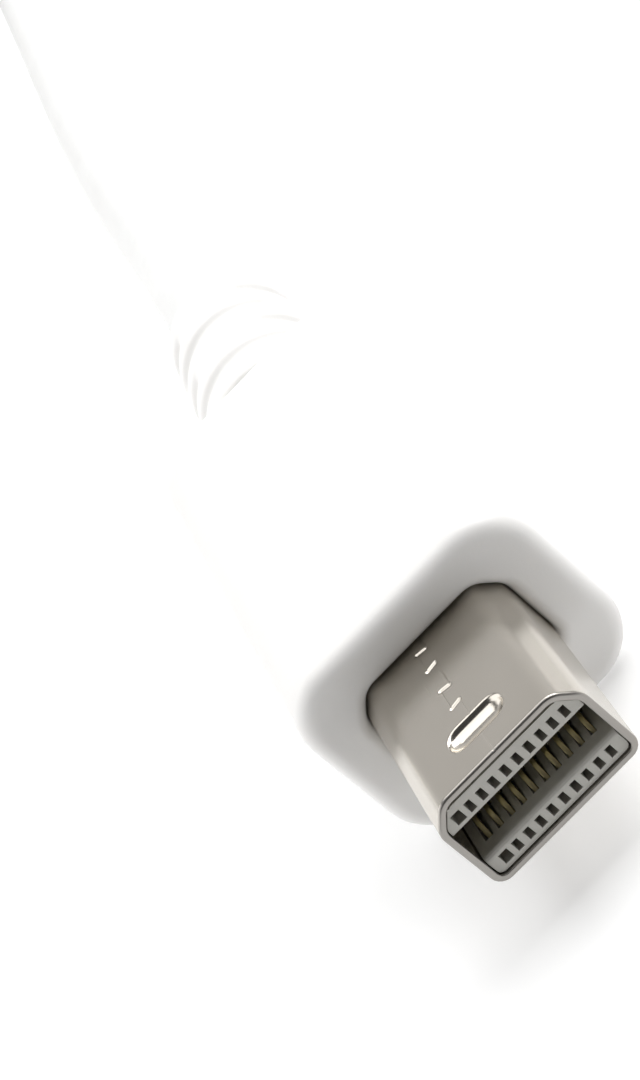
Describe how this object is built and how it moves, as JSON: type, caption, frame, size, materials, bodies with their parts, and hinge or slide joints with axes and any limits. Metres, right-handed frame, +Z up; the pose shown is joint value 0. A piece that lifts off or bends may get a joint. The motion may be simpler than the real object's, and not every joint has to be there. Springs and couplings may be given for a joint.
{
  "type": "mini displayport to hdmi cable",
  "caption": "White video cable with a small chamfered metal plug at one end and a wide plug at the other, lead wound as a tied hank.",
  "frame": {"origin": "on the floor under the middle of the small plug with its moulding and strain relief", "axes": "+Y from the small plug's mating end towards the cable, +X to the right seen from that end, +Z up"},
  "size_m": [0.0508, 0.2208, 0.0326],
  "materials": {
    "shell_metal": "satin nickel-plated sheet",
    "block_grey": "light grey moulded resin",
    "block_dark": "black moulded resin",
    "contact_gilt": "thin gilt plating",
    "moulding_white": "satin white soft plastic",
    "cable_white": "satin white cable jacket",
    "strap_white": "woven white strap"
  },
  "bodies": {
    "root": {"mini_plug_shell": "shell_metal", "mini_plug_contact_block": "block_grey", "mini_plug_moulding": "moulding_white", "mini_plug_strain_relief": "moulding_white", "cable_lead": "cable_white", "cable_hank": "cable_white", "cable_tail": "cable_white", "hank_strap": "strap_white", "wide_plug_shell": "shell_metal", "wide_plug_contact_block": "block_dark", "wide_plug_moulding": "moulding_white", "wide_plug_strain_relief": "moulding_white", "mini_plug_upper_contact_01": "contact_gilt", "mini_plug_upper_contact_02": "contact_gilt", "mini_plug_upper_contact_03": "contact_gilt", "mini_plug_upper_contact_04": "contact_gilt", "mini_plug_upper_contact_05": "contact_gilt", "mini_plug_upper_contact_06": "contact_gilt", "mini_plug_upper_contact_07": "contact_gilt", "mini_plug_upper_contact_08": "contact_gilt", "mini_plug_upper_contact_09": "contact_gilt", "mini_plug_upper_contact_10": "contact_gilt", "mini_plug_lower_contact_01": "contact_gilt", "mini_plug_lower_contact_02": "contact_gilt", "mini_plug_lower_contact_03": "contact_gilt", "mini_plug_lower_contact_04": "contact_gilt", "mini_plug_lower_contact_05": "contact_gilt", "mini_plug_lower_contact_06": "contact_gilt", "mini_plug_lower_contact_07": "contact_gilt", "mini_plug_lower_contact_08": "contact_gilt", "mini_plug_lower_contact_09": "contact_gilt", "mini_plug_lower_contact_10": "contact_gilt", "wide_plug_upper_contact_01": "contact_gilt", "wide_plug_upper_contact_02": "contact_gilt", "wide_plug_upper_contact_03": "contact_gilt", "wide_plug_upper_contact_04": "contact_gilt", "wide_plug_upper_contact_05": "contact_gilt", "wide_plug_upper_contact_06": "contact_gilt", "wide_plug_upper_contact_07": "contact_gilt", "wide_plug_upper_contact_08": "contact_gilt", "wide_plug_upper_contact_09": "contact_gilt", "wide_plug_upper_contact_10": "contact_gilt", "wide_plug_lower_contact_01": "contact_gilt", "wide_plug_lower_contact_02": "contact_gilt", "wide_plug_lower_contact_03": "contact_gilt", "wide_plug_lower_contact_04": "contact_gilt", "wide_plug_lower_contact_05": "contact_gilt", "wide_plug_lower_contact_06": "contact_gilt", "wide_plug_lower_contact_07": "contact_gilt", "wide_plug_lower_contact_08": "contact_gilt", "wide_plug_lower_contact_09": "contact_gilt"}
  },
  "joints": []
}
